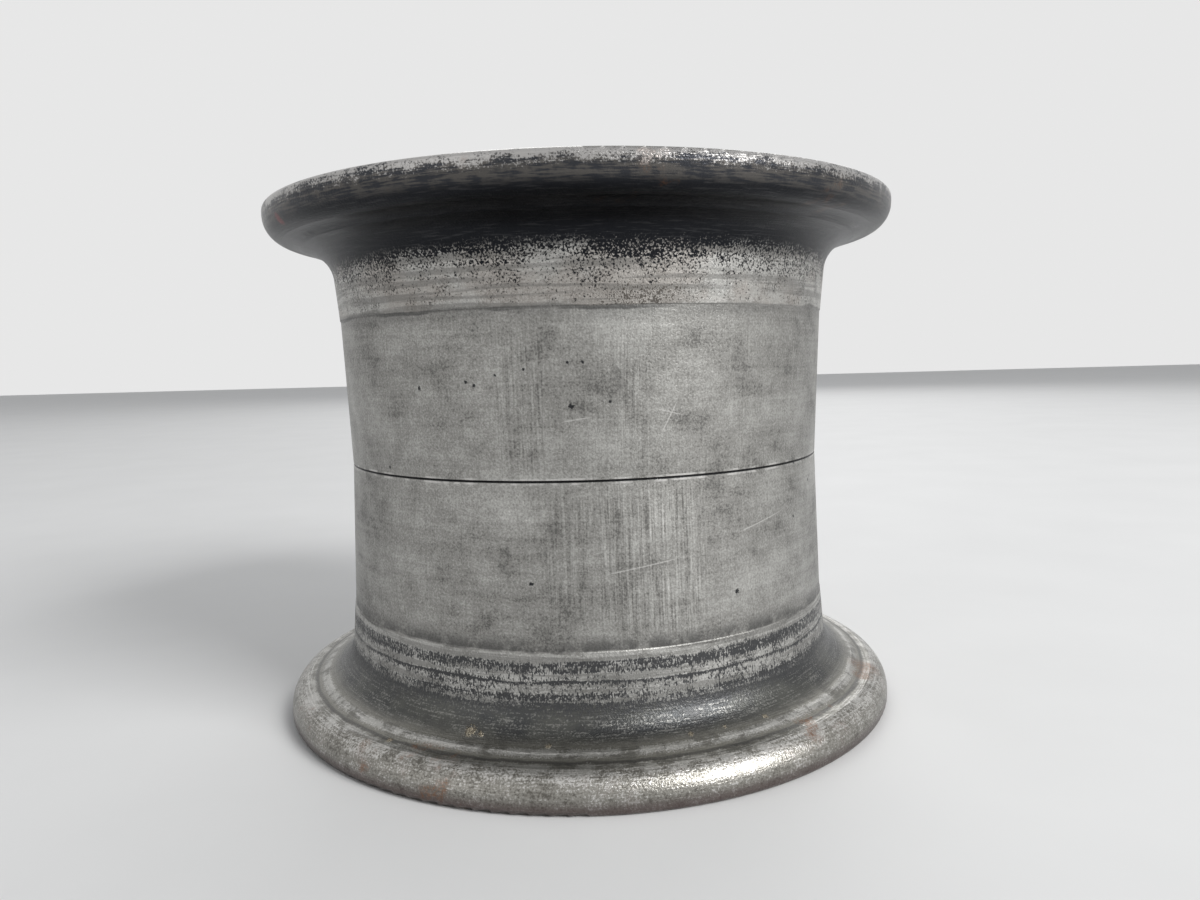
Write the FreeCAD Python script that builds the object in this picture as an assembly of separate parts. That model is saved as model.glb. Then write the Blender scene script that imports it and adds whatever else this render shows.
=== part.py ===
"""Split main wheel of a light aeroplane for a tube tyre with a 6 inch bead, standing on its end.

Two cast halves meet at the wheel's centre plane and are drawn together by three tie bolts. Each hub carries a
tapered roller bearing, kept clean by a felt seal between two steel rings, with a snap ring outside them.

Frame: origin at the wheel's centre, on the axle line and the joint plane. +Z runs along the axle, towards the
outboard half, which holds the valve hole. The inboard half, where a brake disc would go, stands on the ground.
Each half is drawn with the joint plane at height 0 and height growing outwards, and is then put in place.
Sizes are in millimetres and angles in degrees.
"""

import FreeCAD
import Part
import math
import os

V = FreeCAD.Vector
AXLE_LINE = V(0, 0, 1)
ORIGIN = V(0, 0, 0)

# Rim
bead_seat_diameter = 152.4        # measured at the heel, next to the flange
flange_diameter = 190.5
overall_width = 151.0
drum_diameter = 146.9             # outside of the drum at the joint
drum_draft = 2.0
bead_toe_height = 43.1            # from the joint to the start of the bead seat
bead_ledge_height = 0.3
bead_heel_height = 55.2           # from the joint to the start of the heel radius
bead_seat_taper = 5.0
heel_radius = 10.0
flange_face_slope = 17.0
flange_crown_radius = 6.8
flange_edge_radius = 1.5
joint_chamfer = 0.35

# The two worn ridges on the tyre side of the flange and the shallow hollow between them
inner_ridge_inset = 10.4          # from the outside of the flange
outer_ridge_inset = 5.1
hollow_depth = 0.8
ridge_radius = 0.8
hollow_radius = 9.0

# Inside of each half
rim_wall = 6.5                    # thickness of the drum at the joint
rim_mouth_radius = 71.0
rim_mouth_rounding = 2.0
web_thickness = 9.0
web_root_radius = 5.0
hub_radius = 38.0
hub_draft = 1.0
hub_passage_radius = 24.0
hub_end_rounding = 1.2
hub_shoulder_rounding = 1.0
spigot_radius = 34.0
spigot_length = 3.0
spigot_clearance = 0.05
spigot_end_gap = 0.2
spigot_rounding = 0.6

# Bearing: a tapered roller bearing for a 1 1/4 inch axle
axle_radius = 15.875
bearing_radius = 29.565
cup_width = 11.811
cone_width = 16.764
bearing_width = 15.875            # back of the cup to the back of the cone
roller_count = 18
roller_tilt = 13.0                # the roller's own axis against the axle line
roller_pitch_radius = 22.4        # axle line to the middle of a roller
roller_mid_radius = 3.1
roller_length = 10.6
roller_middle = 6.4               # back of the cup to the middle of a roller
roller_rounding = 0.35
raceway_clearance = 0.04
roller_end_clearance = 0.05
small_rib_height = 1.0
large_rib_height = 2.3
bearing_chamfer = 0.8
cage_thickness = 0.9
cage_offset = 0.75                # inside of the cage above the rollers' axes
cage_overhang = 1.3               # past each end of the rollers
cage_lip = 2.2
pocket_clearance = 0.08

# Where each bearing sits: height of the shoulder behind its cup
outboard_shoulder = 34.0
inboard_shoulder = 30.0

# Felt seal and snap ring, from the bearing outwards
seal_gap = 0.325                  # back of the cone to the inner seal ring
seal_radius = 31.5                # counterbore that the seal sits in
seal_fit = 0.1
seal_ring_thickness = 0.8
seal_ring_hole_radius = 17.0
seal_ring_lip = 1.4
felt_thickness = 4.0
felt_hole_radius = 16.0
snap_ring_thickness = 1.6
snap_ring_width = 3.6
snap_ring_opening = 26.0          # angle left open between the ring's ends
snap_ring_azimuth = -90.0
snap_ring_ear_radius = 3.1
snap_ring_ear_hole = 1.2
groove_depth = 1.2
groove_slack = 0.12
hub_end_land = 2.4                # hub beyond the snap ring groove

# Tie bolts, with their heads on the inboard side
bolt_circle_radius = 50.8
bolt_count = 3
first_bolt_azimuth = -90.0
bolt_radius = 3.96
bolt_hole_radius = 4.1
bolt_head_width = 12.7            # across flats
bolt_head_height = 5.2
bolt_end_past_nut = 2.4
bolt_end_chamfer = 0.8
pad_radius = 11.5
pad_height = 3.0
pad_rounding = 0.8
washer_radius = 7.15
washer_hole_radius = 4.15
washer_thickness = 1.6
nut_width = 12.7                  # across flats
nut_hex_height = 5.4
nut_collar_radius = 5.9
nut_collar_height = 2.6
nut_collar_rounding = 1.0
hex_face_share = 0.95             # flat top of a head or nut, as a share of its width across flats
hex_chamfer_angle = 30.0

# Ribs of the outboard half
rib_count = 6
rib_thickness = 6.0
rib_hub_height = 47.0
rib_rim_height = 18.0
rib_rounding = 1.8
rib_embed = 1.5                   # how far a rib's ends run into the hub and the rim

# Valve hole in the drum of the outboard half
valve_hole_radius = 6.35
valve_hole_height = 30.0
valve_hole_azimuth = 90.0         # between two ribs and clear of the tie bolts
valve_hole_countersink = 0.8

# How far a tool or a fused piece runs past the face that it must cross
overlap = 1.0


def tangent(angle):
    return math.tan(math.radians(angle))


def sine(angle):
    return math.sin(math.radians(angle))


def cosine(angle):
    return math.cos(math.radians(angle))


# ---------------------------------------------------------------------------------------------------------
# Drawing helpers
# ---------------------------------------------------------------------------------------------------------

def corner_arc(before, corner, after, radius):
    """Start, middle and end of the arc of that radius which touches both sides of a corner."""
    to_before = (before - corner).normalize()
    to_after = (after - corner).normalize()
    half_angle = to_before.getAngle(to_after) / 2
    bisector = (to_before + to_after).normalize()
    set_back = radius / math.tan(half_angle)
    centre = corner + bisector * (radius / math.sin(half_angle))
    return corner + to_before * set_back, centre - bisector * radius, corner + to_after * set_back


def outline(corners):
    """Closed wire in the XZ plane through corners of (radius, height) or (radius, height, rounding)."""
    points = [V(c[0], 0, c[1]) for c in corners]
    roundings = [c[2] if len(c) > 2 else 0.0 for c in corners]
    edges = []
    arcs = []
    for i, (point, rounding) in enumerate(zip(points, roundings)):
        if rounding:
            arcs.append(corner_arc(points[i - 1], point, points[(i + 1) % len(points)], rounding))
        else:
            arcs.append((point, None, point))
    for i, (start, middle, end) in enumerate(arcs):
        if middle is not None:
            edges.append(Part.Arc(start, middle, end).toShape())
        next_start = arcs[(i + 1) % len(arcs)][0]
        if end.distanceToPoint(next_start) > 1e-6:
            edges.append(Part.LineSegment(end, next_start).toShape())
    return Part.Wire(Part.__sortEdges__(edges))


def turned(corners):
    """Solid made by turning an outline once round the axle line."""
    return Part.Face(outline(corners)).revolve(ORIGIN, AXLE_LINE, 360)


def around(shape, angle):
    """Copy of a shape turned about the axle line."""
    copy = shape.copy()
    copy.rotate(ORIGIN, AXLE_LINE, angle)
    return copy


def circles_at(solid, height):
    """Closed edges of a solid that lie at one height."""
    return [e for e in solid.Edges
            if e.Closed and e.BoundBox.ZLength < 1e-6 and abs(e.BoundBox.ZMin - height) < 1e-6]


def on_outboard_side(shape):
    return shape


def on_inboard_side(shape):
    """Copy of a shape drawn for the outboard side, turned over about the Y axis onto the inboard side."""
    copy = shape.copy()
    copy.rotate(ORIGIN, V(0, 1, 0), 180)
    return copy


def hexagon_corner_radius(width):
    return width / 2 / cosine(180 / 6)


def hexagon_prism(width, height):
    corner_radius = hexagon_corner_radius(width)
    corners = [V(corner_radius * cosine(60 * k), corner_radius * sine(60 * k), 0) for k in range(7)]
    return Part.Face(Part.makePolygon(corners)).extrude(V(0, 0, height))


def chamfered_hexagon(width, height):
    """Hexagon whose outer corners are cut by a shallow cone, as on a turned bolt head or nut."""
    cone_radius = hexagon_corner_radius(width) + overlap
    face_radius = width / 2 * hex_face_share
    drop = (cone_radius - face_radius) * tangent(hex_chamfer_angle)
    blank = turned([(0, 0), (cone_radius, 0), (cone_radius, height - drop), (face_radius, height), (0, height)])
    return hexagon_prism(width, height).common(blank)


# ---------------------------------------------------------------------------------------------------------
# Sizes that follow from the ones above
# ---------------------------------------------------------------------------------------------------------

half_width = overall_width / 2
flange_radius = flange_diameter / 2
bead_seat_radius = bead_seat_diameter / 2
drum_radius = drum_diameter / 2
pad_top = web_thickness + pad_height
seal_start = bearing_width + seal_gap
snap_ring_start = seal_start + 2 * seal_ring_thickness + felt_thickness
hub_end_above_shoulder = snap_ring_start + snap_ring_thickness + groove_slack + hub_end_land


def drum_radius_at(height):
    return drum_radius + height * tangent(drum_draft)


def bead_seat_radius_at(height):
    return bead_seat_radius + (height - bead_heel_height) * tangent(bead_seat_taper)


def flange_line():
    """Height of the flat flange face where it meets the outside diameter, from where the heel radius starts."""
    turn = 90 - flange_face_slope - bead_seat_taper
    corner_height = bead_heel_height + heel_radius * tangent(turn / 2) * cosine(bead_seat_taper)
    corner_radius = bead_seat_radius_at(corner_height)
    return corner_radius, corner_height


def flange_face_height(radius):
    corner_radius, corner_height = flange_line()
    return corner_height + (radius - corner_radius) * tangent(flange_face_slope)


def rim_inside_radius_at(height):
    """Inside of the rim, a straight taper from the joint to the mouth."""
    at_joint = drum_radius - rim_wall
    return at_joint + (rim_mouth_radius - at_joint) * height / half_width


# ---------------------------------------------------------------------------------------------------------
# Wheel halves
# ---------------------------------------------------------------------------------------------------------

def rim_outline():
    """Tyre side of a half, from the joint outwards to the mouth of the rim."""
    inner_ridge = flange_radius - inner_ridge_inset
    outer_ridge = flange_radius - outer_ridge_inset
    hollow = (inner_ridge + outer_ridge) / 2
    ledge_start = bead_toe_height - bead_ledge_height
    return [
        (drum_radius - joint_chamfer, 0),
        (drum_radius, joint_chamfer),
        (drum_radius_at(ledge_start), ledge_start),
        (bead_seat_radius_at(bead_toe_height), bead_toe_height),
        (*flange_line(), heel_radius),
        (inner_ridge, flange_face_height(inner_ridge), ridge_radius),
        (hollow, flange_face_height(hollow) + hollow_depth, hollow_radius),
        (outer_ridge, flange_face_height(outer_ridge)),
        (flange_radius, flange_face_height(flange_radius), flange_crown_radius),
        (flange_radius, half_width, flange_edge_radius),
        (rim_mouth_radius, half_width, rim_mouth_rounding),
    ]


def hub_outline(shoulder):
    """Inside of a half, from the root of the web to the shoulder behind the bearing cup."""
    hub_end = shoulder + hub_end_above_shoulder
    groove_start = shoulder + snap_ring_start
    groove_end = groove_start + snap_ring_thickness + groove_slack
    seal_floor = shoulder + seal_start
    hub_end_radius = hub_radius - (hub_end - web_thickness) * tangent(hub_draft)
    return [
        (rim_inside_radius_at(web_thickness), web_thickness, web_root_radius),
        (hub_radius, web_thickness, web_root_radius),
        (hub_end_radius, hub_end, hub_end_rounding),
        (seal_radius, hub_end),
        (seal_radius, groove_end),
        (seal_radius + groove_depth, groove_end),
        (seal_radius + groove_depth, groove_start),
        (seal_radius, groove_start),
        (seal_radius, seal_floor),
        (bearing_radius, seal_floor),
        (bearing_radius, shoulder),
        (hub_passage_radius, shoulder, hub_shoulder_rounding),
    ]


def bolt_angles():
    return [first_bolt_azimuth + 360 / bolt_count * k for k in range(bolt_count)]


def bolt_pads():
    pad = Part.makeCylinder(pad_radius, pad_height + overlap, V(bolt_circle_radius, 0, web_thickness - overlap))
    pad = pad.makeFillet(pad_rounding, circles_at(pad, pad_top))
    return [around(pad, angle) for angle in bolt_angles()]


def with_bolt_holes(half, depth_below):
    bottom = V(bolt_circle_radius, 0, -depth_below - overlap)
    hole = Part.makeCylinder(bolt_hole_radius, pad_top + depth_below + 2 * overlap, bottom)
    return half.cut([around(hole, angle) for angle in bolt_angles()])


def rib():
    """One rib in the plane of the angle 0, sloping from the hub down to the rim."""
    hub_side = hub_radius - rib_hub_height * tangent(hub_draft) - rib_embed
    rim_side = rim_inside_radius_at(rib_rim_height) + rib_embed
    root = web_thickness - overlap
    corners = [(hub_side, root), (rim_side, root), (rim_side, rib_rim_height), (hub_side, rib_hub_height)]
    wire = Part.makePolygon([V(r, -rib_thickness / 2, h) for r, h in corners + corners[:1]])
    solid = Part.Face(wire).extrude(V(0, rib_thickness, 0))
    slanted = [e for e in solid.Edges if e.BoundBox.XLength > overlap and e.BoundBox.ZLength > overlap]
    return solid.makeFillet(rib_rounding, slanted)


def valve_hole():
    """Tool that drills and countersinks the valve hole from the tyre side."""
    inside = rim_inside_radius_at(valve_hole_height)
    outside = drum_radius_at(valve_hole_height)
    outwards = V(1, 0, 0)
    drill_start = V(inside - valve_hole_radius, 0, valve_hole_height)
    drill_length = outside - inside + 2 * valve_hole_radius
    drill = Part.makeCylinder(valve_hole_radius, drill_length, drill_start, outwards)
    sink_depth = valve_hole_countersink + overlap
    sink_start = V(outside - valve_hole_countersink, 0, valve_hole_height)
    sink = Part.makeCone(valve_hole_radius, valve_hole_radius + sink_depth, sink_depth, sink_start, outwards)
    return around(drill.fuse(sink), valve_hole_azimuth)


def outboard_wheel_half():
    corners = rim_outline() + hub_outline(outboard_shoulder)
    corners += [
        (hub_passage_radius, -spigot_length, spigot_rounding),
        (spigot_radius, -spigot_length, spigot_rounding),
        (spigot_radius, 0),
    ]
    half = turned(corners)
    ribs = [around(rib(), 360 / rib_count * k) for k in range(rib_count)]
    half = half.fuse(bolt_pads() + ribs)
    half = with_bolt_holes(half, spigot_length)
    return half.cut(valve_hole()).removeSplitter()


def inboard_wheel_half():
    recess_radius = spigot_radius + spigot_clearance
    recess_depth = spigot_length + spigot_end_gap
    corners = rim_outline() + hub_outline(inboard_shoulder)
    corners += [(hub_passage_radius, recess_depth), (recess_radius, recess_depth), (recess_radius, 0)]
    half = turned(corners).fuse(bolt_pads())
    return with_bolt_holes(half, 0).removeSplitter()


# ---------------------------------------------------------------------------------------------------------
# Bearing, drawn with the back of the cup at height 0 and the cone's back outwards
# ---------------------------------------------------------------------------------------------------------

apex_distance = roller_pitch_radius / sine(roller_tilt)        # along a roller's axis, to the common apex
apex_height = roller_middle - apex_distance * cosine(roller_tilt)
roller_taper = math.degrees(math.atan(roller_mid_radius / apex_distance))


def on_roller(distance, offset):
    """(radius, height) of a point at a distance from the apex along a roller's axis, and off that axis."""
    radius = distance * sine(roller_tilt) + offset * cosine(roller_tilt)
    height = apex_height + distance * cosine(roller_tilt) - offset * sine(roller_tilt)
    return radius, height


def raceway_radius(height, side):
    """Radius of the cup's raceway for side +1 or of the cone's for side -1, with its running clearance."""
    slope = tangent(roller_tilt + side * roller_taper)
    return (height - apex_height) * slope + side * raceway_clearance


def bearing_cup():
    return turned([
        (raceway_radius(0, 1), 0),
        (bearing_radius, 0, bearing_chamfer),
        (bearing_radius, cup_width, bearing_chamfer),
        (raceway_radius(cup_width, 1), cup_width),
    ])


def bearing_cone():
    near_end = apex_distance - roller_length / 2 - roller_end_clearance
    far_end = apex_distance + roller_length / 2 + roller_end_clearance
    small_corner = on_roller(near_end, -roller_radius_at(near_end) - raceway_clearance)
    large_corner = on_roller(far_end, -roller_radius_at(far_end) - raceway_clearance)
    small_rib_top = on_roller(near_end, small_rib_height - roller_radius_at(near_end))
    large_rib_top = on_roller(far_end, large_rib_height - roller_radius_at(far_end))
    front = bearing_width - cone_width
    return turned([
        (axle_radius, front, bearing_chamfer / 2),
        (small_rib_top[0], front, bearing_chamfer / 2),
        small_rib_top,
        small_corner,
        large_corner,
        large_rib_top,
        (large_rib_top[0], bearing_width, bearing_chamfer),
        (axle_radius, bearing_width, bearing_chamfer),
    ])


def roller_radius_at(distance):
    return distance * tangent(roller_taper)


def roller(extra_radius=0.0, extra_length=0.0, rounding=0.0):
    """One roller in the plane of the angle 0, or a larger one to cut its pocket."""
    near = apex_distance - roller_length / 2 - extra_length
    far = apex_distance + roller_length / 2 + extra_length
    base = on_roller(near, 0)
    direction = V(sine(roller_tilt), 0, cosine(roller_tilt))
    solid = Part.makeCone(roller_radius_at(near) + extra_radius, roller_radius_at(far) + extra_radius,
                          far - near, V(base[0], 0, base[1]), direction)
    if rounding:
        rims = [e for e in solid.Edges if e.Closed]
        solid = solid.makeChamfer(rounding, rims)
    return solid


def around_bearing(solid):
    return [around(solid, 360 / roller_count * k) for k in range(roller_count)]


def bearing_rollers():
    return Part.makeCompound(around_bearing(roller(rounding=roller_rounding)))


def bearing_cage():
    """Pressed conical cage with a pocket for each roller and a lip turned in at its small end."""
    near = apex_distance - roller_length / 2 - cage_overhang
    far = apex_distance + roller_length / 2 + cage_overhang
    outside = cage_offset + cage_thickness
    blank = turned([
        on_roller(near, cage_offset - cage_lip),
        on_roller(near, outside),
        on_roller(far, outside),
        on_roller(far, cage_offset),
        on_roller(near + cage_thickness, cage_offset),
        on_roller(near + cage_thickness, cage_offset - cage_lip),
    ])
    pocket = roller(extra_radius=pocket_clearance, extra_length=pocket_clearance)
    return blank.cut(around_bearing(pocket))


# ---------------------------------------------------------------------------------------------------------
# Seal and snap ring, drawn from the same level as the bearing
# ---------------------------------------------------------------------------------------------------------

def seal_ring(start, lip_direction):
    """Pressed steel ring; its inner edge is turned a little into the felt, up for +1 or down for -1."""
    outside = seal_radius - seal_fit
    flat = turned([
        (seal_ring_hole_radius, start),
        (outside, start),
        (outside, start + seal_ring_thickness),
        (seal_ring_hole_radius, start + seal_ring_thickness),
    ])
    lip_start = start + seal_ring_thickness if lip_direction > 0 else start - seal_ring_lip
    lip = turned([
        (seal_ring_hole_radius, lip_start),
        (seal_ring_hole_radius + seal_ring_thickness, lip_start),
        (seal_ring_hole_radius + seal_ring_thickness, lip_start + seal_ring_lip),
        (seal_ring_hole_radius, lip_start + seal_ring_lip),
    ])
    return flat.fuse(lip).removeSplitter()


def inner_seal_ring():
    return seal_ring(seal_start, 1)


def outer_seal_ring():
    return seal_ring(seal_start + seal_ring_thickness + felt_thickness, -1)


def felt_ring():
    """Felt between the rings, stepped where their lips press into it."""
    bottom = seal_start + seal_ring_thickness
    top = bottom + felt_thickness
    outside = seal_radius - seal_fit
    lip_outside = seal_ring_hole_radius + seal_ring_thickness
    return turned([
        (felt_hole_radius, bottom + seal_ring_lip),
        (lip_outside, bottom + seal_ring_lip),
        (lip_outside, bottom),
        (outside, bottom),
        (outside, top),
        (lip_outside, top),
        (lip_outside, top - seal_ring_lip),
        (felt_hole_radius, top - seal_ring_lip),
    ])


def snap_ring():
    """Flat C-shaped spring ring with an eared, drilled end each side of its opening."""
    outside = seal_radius + groove_depth - seal_fit
    inside = outside - snap_ring_width
    bottom = snap_ring_start
    ring = turned([(inside, bottom), (outside, bottom), (outside, bottom + snap_ring_thickness),
                   (inside, bottom + snap_ring_thickness)])
    wedge = Part.makeCylinder(outside + 1, snap_ring_thickness, V(0, 0, bottom), AXLE_LINE, snap_ring_opening)
    ring = ring.cut(around(wedge, -snap_ring_opening / 2))
    ear_circle = outside - groove_depth - seal_fit - snap_ring_ear_radius
    ear_angle = snap_ring_opening / 2 + math.degrees(snap_ring_ear_radius / ear_circle)
    ear = Part.makeCylinder(snap_ring_ear_radius, snap_ring_thickness, V(ear_circle, 0, bottom))
    hole = Part.makeCylinder(snap_ring_ear_hole, snap_ring_thickness, V(ear_circle, 0, bottom))
    ring = ring.fuse([around(ear, ear_angle), around(ear, -ear_angle)])
    ring = ring.cut([around(hole, ear_angle), around(hole, -ear_angle)])
    return around(ring.removeSplitter(), snap_ring_azimuth)


# ---------------------------------------------------------------------------------------------------------
# Tie bolts, drawn on the axle line with the joint at height 0 and the nut outboard
# ---------------------------------------------------------------------------------------------------------

def tie_bolt():
    head_seat = -(pad_top + washer_thickness)
    end = pad_top + washer_thickness + nut_hex_height + nut_collar_height + bolt_end_past_nut
    bottom = head_seat - overlap
    shank = Part.makeCylinder(bolt_radius, end - bottom, V(0, 0, bottom))
    shank = shank.makeChamfer(bolt_end_chamfer, circles_at(shank, end))
    head = chamfered_hexagon(bolt_head_width, bolt_head_height)
    head.rotate(ORIGIN, V(1, 0, 0), 180)
    head.translate(V(0, 0, head_seat))
    return shank.fuse(head).removeSplitter()


def washer():
    disc = Part.makeCylinder(washer_radius, washer_thickness, V(0, 0, pad_top))
    hole = Part.makeCylinder(washer_hole_radius, washer_thickness, V(0, 0, pad_top))
    return disc.cut(hole)


def lock_nut():
    """Hexagon nut with a round collar that grips the thread."""
    nut = chamfered_hexagon(nut_width, nut_hex_height)
    height = nut_hex_height + nut_collar_height
    collar = Part.makeCylinder(nut_collar_radius, height)
    collar = collar.makeFillet(nut_collar_rounding, circles_at(collar, height))
    nut = nut.fuse(collar)
    nut = nut.cut(Part.makeCylinder(bolt_radius, height))
    nut.translate(V(0, 0, pad_top + washer_thickness))
    return nut.removeSplitter()


# ---------------------------------------------------------------------------------------------------------
# Assembly
# ---------------------------------------------------------------------------------------------------------

def bearing_side(shoulder, place):
    """All that sits in one hub, by name, put in place on its side of the wheel."""
    makers = {
        "bearing_cup": bearing_cup,
        "bearing_cone": bearing_cone,
        "bearing_rollers": bearing_rollers,
        "bearing_cage": bearing_cage,
        "inner_seal_ring": inner_seal_ring,
        "felt_seal": felt_ring,
        "outer_seal_ring": outer_seal_ring,
        "snap_ring": snap_ring,
    }
    pieces = {}
    for name, make in makers.items():
        shape = make()
        shape.translate(V(0, 0, shoulder))
        pieces[name] = place(shape)
    return pieces


def tie_bolt_set(angle):
    """One tie bolt with its nut and both washers, by name, put in place on the bolt circle."""
    shapes = {
        "tie_bolt": tie_bolt(),
        "bolt_head_washer": on_inboard_side(washer()),
        "nut_washer": washer(),
        "tie_bolt_nut": lock_nut(),
    }
    for shape in shapes.values():
        shape.translate(V(bolt_circle_radius, 0, 0))
    return {name: around(shape, angle) for name, shape in shapes.items()}


def assembly():
    nodes = {
        "outboard_wheel_half": outboard_wheel_half(),
        "inboard_wheel_half": on_inboard_side(inboard_wheel_half()),
    }
    sides = {"outboard": (outboard_shoulder, on_outboard_side), "inboard": (inboard_shoulder, on_inboard_side)}
    for side, (shoulder, place) in sides.items():
        for name, shape in bearing_side(shoulder, place).items():
            nodes[f"{side}_{name}"] = shape
    for number, angle in enumerate(bolt_angles(), start=1):
        for name, shape in tie_bolt_set(angle).items():
            nodes[f"{name}_{number}"] = shape
    return nodes


os.makedirs("parts", exist_ok=True)
for node, shape in assembly().items():
    shape.exportStep(f"parts/{node}.step")
    print(f"{node}: {len(shape.Solids)} solid(s), {shape.Volume / 1000:.2f} cm3, valid {shape.isValid()}")
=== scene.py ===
# %% [markdown]
# # Split main wheel of a light aeroplane
#
# This lesson dresses a finished wheel. The solids come from the frame, in metres, at their real size: two cast
# halves bolted together, and in each hub a tapered roller bearing behind a felt seal. The wheel has been in use
# for decades, so nearly all of the work is in the finishes. Each is a node material made from a few ideas:
# where on the wheel a point lies, how rough noise breaks up an edge, and what wears or stains that place.

# %% Load the frame
import math

import bpy
import numpy as np
from mathutils import Matrix, Vector


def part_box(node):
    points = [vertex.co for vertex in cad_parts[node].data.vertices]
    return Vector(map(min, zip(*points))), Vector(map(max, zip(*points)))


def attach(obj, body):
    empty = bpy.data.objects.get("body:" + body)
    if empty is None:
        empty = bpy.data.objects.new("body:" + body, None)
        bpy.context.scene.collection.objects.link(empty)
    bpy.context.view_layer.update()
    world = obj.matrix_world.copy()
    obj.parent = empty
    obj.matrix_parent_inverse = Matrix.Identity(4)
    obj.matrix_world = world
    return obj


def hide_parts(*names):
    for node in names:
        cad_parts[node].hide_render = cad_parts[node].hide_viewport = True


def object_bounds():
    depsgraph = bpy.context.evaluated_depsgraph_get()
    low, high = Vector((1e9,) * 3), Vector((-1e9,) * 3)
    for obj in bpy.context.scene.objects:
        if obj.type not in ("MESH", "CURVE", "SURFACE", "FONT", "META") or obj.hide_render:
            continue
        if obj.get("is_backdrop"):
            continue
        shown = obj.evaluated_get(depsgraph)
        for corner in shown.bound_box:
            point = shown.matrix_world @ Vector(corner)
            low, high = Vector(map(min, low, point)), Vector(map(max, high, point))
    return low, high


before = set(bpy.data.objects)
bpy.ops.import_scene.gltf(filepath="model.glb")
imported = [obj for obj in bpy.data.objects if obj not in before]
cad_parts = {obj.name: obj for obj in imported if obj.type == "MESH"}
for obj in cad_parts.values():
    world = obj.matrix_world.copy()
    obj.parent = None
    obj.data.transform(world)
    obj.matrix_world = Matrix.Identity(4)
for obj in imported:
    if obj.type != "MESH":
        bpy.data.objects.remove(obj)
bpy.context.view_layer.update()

# %% [markdown]
# ## Sizes that the finishes follow
#
# A finish has to know where the drum ends and the bead seat starts. The outer sizes are measured from the frame.
# The few that a bounding box can't give are named here in millimetres, as a fitter would read them off a drawing.
# Heights are counted from the plane where the halves meet, because the two halves are alike outside.

# %% Sizes, in millimetres
MM = 1000.0

half_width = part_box("outboard_wheel_half")[1].z * MM
flange_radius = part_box("outboard_wheel_half")[1].x * MM
bead_toe_height = 43.1
heel_start_height = 55.2
inner_ridge_radius = flange_radius - 10.4
outer_ridge_radius = flange_radius - 5.1
rim_mouth_radius = 71.0
web_thickness = 9.0
hub_radius = 38.0
hub_end_height = {side: max(abs(c.z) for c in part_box(f"{side}_snap_ring")) * MM + 2.5
                  for side in ("outboard", "inboard")}
bolt_circle_radius = 50.8
bolt_azimuths = [math.radians(-90 + 120 * k) for k in range(3)]
bolt_pad_radius = 11.5
bolt_pad_height = 12.0

print(f"half width {half_width:.1f} mm, flange radius {flange_radius:.1f} mm, hub ends {hub_end_height}")

# %% [markdown]
# ## A way to write shader maths
#
# Wiring dozens of Math nodes by hand hides the idea behind them. Here a small class wraps one output socket and
# overloads the operators, so that `1 - mask` adds the Math node that does it. A second class holds the material:
# its `node` method adds any other node, with settings first and then the values or links of its sockets.

# %% Fields and finishes
class Field:
    """One output socket of a finish. Arithmetic on it adds the Math nodes that work it out."""

    def __init__(self, finish, socket):
        self.finish = finish
        self.socket = socket

    def maths(self, operation, *values):
        return self.finish.node("ShaderNodeMath", {"operation": operation}, dict(enumerate(values)))

    def __add__(self, other):
        return self.maths("ADD", self, other)

    def __sub__(self, other):
        return self.maths("SUBTRACT", self, other)

    def __rsub__(self, other):
        return self.maths("SUBTRACT", other, self)

    def __mul__(self, other):
        return self.maths("MULTIPLY", self, other)

    def __truediv__(self, other):
        return self.maths("DIVIDE", self, other)

    def __abs__(self):
        return self.maths("ABSOLUTE", self)

    __radd__ = __add__
    __rmul__ = __mul__

    def root(self):
        return self.maths("SQRT", self)

    def larger(self, other):
        return self.maths("MAXIMUM", self, other)

    def smaller(self, other):
        return self.maths("MINIMUM", self, other)

    def above(self, low, high):
        """0 below low, 1 above high, and a smooth rise between them."""
        settings = {"interpolation_type": "SMOOTHSTEP"}
        return self.finish.node("ShaderNodeMapRange", settings, {0: self, 1: low, 2: high, 3: 0.0, 4: 1.0})

    def below(self, low, high):
        """1 below low, 0 above high, and a smooth fall between them."""
        settings = {"interpolation_type": "SMOOTHSTEP"}
        return self.finish.node("ShaderNodeMapRange", settings, {0: self, 1: low, 2: high, 3: 1.0, 4: 0.0})

    def near(self, centre, reach, fade):
        """1 within reach of a centre, fading out over a further distance."""
        return abs(self - centre).below(reach, reach + fade)


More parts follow.
